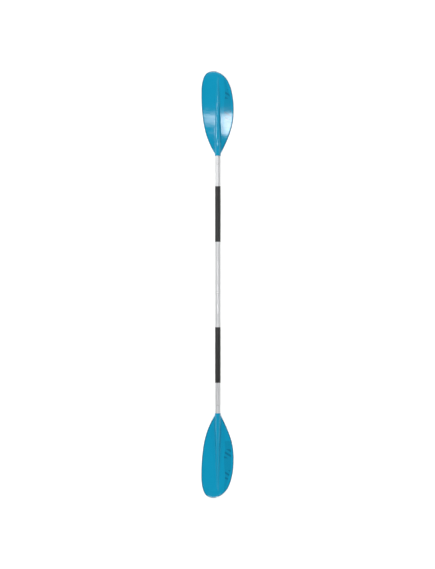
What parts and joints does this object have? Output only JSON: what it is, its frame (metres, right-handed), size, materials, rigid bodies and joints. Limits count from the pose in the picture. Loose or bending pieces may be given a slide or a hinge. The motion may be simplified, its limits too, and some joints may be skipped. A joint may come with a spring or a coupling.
{
  "type": "kayak paddle",
  "caption": "Double-bladed kayak paddle that comes apart: moulded turquoise blades, silver aluminium shaft halves, black grips and snap buttons.",
  "frame": {"origin": "on the shaft's axis, at the seam between the two shaft halves", "axes": "+Y along the shaft towards the upper blade, +Z out of the blades' inner faces and the snap buttons, +X towards the blades' fuller edges"},
  "size_m": [0.1737, 2.3, 0.0332],
  "materials": {
    "turquoise_polypropylene": "injection moulded, semi-gloss, with a tone-on-tone print",
    "drawn_aluminium": "drawn tube, satin anodised silver",
    "black_grip_rubber": "extruded sleeve, satin",
    "spring_steel": "bright rolled strip",
    "black_cap_plastic": "moulded, matte",
    "white_foam": "closed-cell polyethylene foam"
  },
  "bodies": {
    "upper_half": {"upper_tube": "drawn_aluminium", "upper_grip": "black_grip_rubber", "centre_spigot": "drawn_aluminium", "centre_spigot_cap": "black_cap_plastic", "centre_spigot_rivet": "drawn_aluminium", "upper_outer_float_plug": "white_foam", "upper_inner_float_plug": "white_foam"},
    "upper_blade": {"upper_blade": "turquoise_polypropylene", "upper_blade_spigot": "drawn_aluminium", "upper_blade_spigot_cap": "black_cap_plastic", "upper_blade_rivet": "drawn_aluminium"},
    "upper_button": {"upper_snap_clip": "spring_steel"},
    "centre_button": {"centre_snap_clip": "spring_steel"},
    "half_slider": {"lower_inner_float_plug": "white_foam"},
    "lower_half": {"lower_tube": "drawn_aluminium", "lower_grip": "black_grip_rubber", "lower_outer_float_plug": "white_foam"},
    "lower_blade": {"lower_blade": "turquoise_polypropylene", "lower_blade_spigot": "drawn_aluminium", "lower_blade_spigot_cap": "black_cap_plastic", "lower_blade_rivet": "drawn_aluminium"},
    "lower_button": {"lower_snap_clip": "spring_steel"}
  },
  "joints": [
    {"name": "upper_blade_pull", "type": "slide", "parent": "upper_half", "child": "upper_blade", "axis": [0, 1, 0], "range_m": [0, 0.11]},
    {"name": "upper_button_press", "type": "slide", "parent": "upper_blade", "child": "upper_button", "axis": [0, 0, -1], "range_m": [0, 0.0038], "stiffness_N_per_m": 2000, "springref_m": -0.001, "deforming": ["upper_snap_clip"]},
    {"name": "centre_button_press", "type": "slide", "parent": "upper_half", "child": "centre_button", "axis": [0, 0, -1], "range_m": [0, 0.0038], "stiffness_N_per_m": 2000, "springref_m": -0.001, "deforming": ["centre_snap_clip"]},
    {"name": "half_pull", "type": "slide", "parent": "upper_half", "child": "half_slider", "axis": [0, -1, 0], "range_m": [0, 0.11]},
    {"name": "feather_turn", "type": "hinge", "parent": "half_slider", "child": "lower_half", "pos_m": [0, 0, 0], "axis": [0, 1, 0], "range_deg": [-60, 60]},
    {"name": "lower_blade_pull", "type": "slide", "parent": "lower_half", "child": "lower_blade", "axis": [0, -1, 0], "range_m": [0, 0.11]},
    {"name": "lower_button_press", "type": "slide", "parent": "lower_blade", "child": "lower_button", "axis": [0, 0, -1], "range_m": [0, 0.0038], "stiffness_N_per_m": 2000, "springref_m": -0.001, "deforming": ["lower_snap_clip"]}
  ]
}
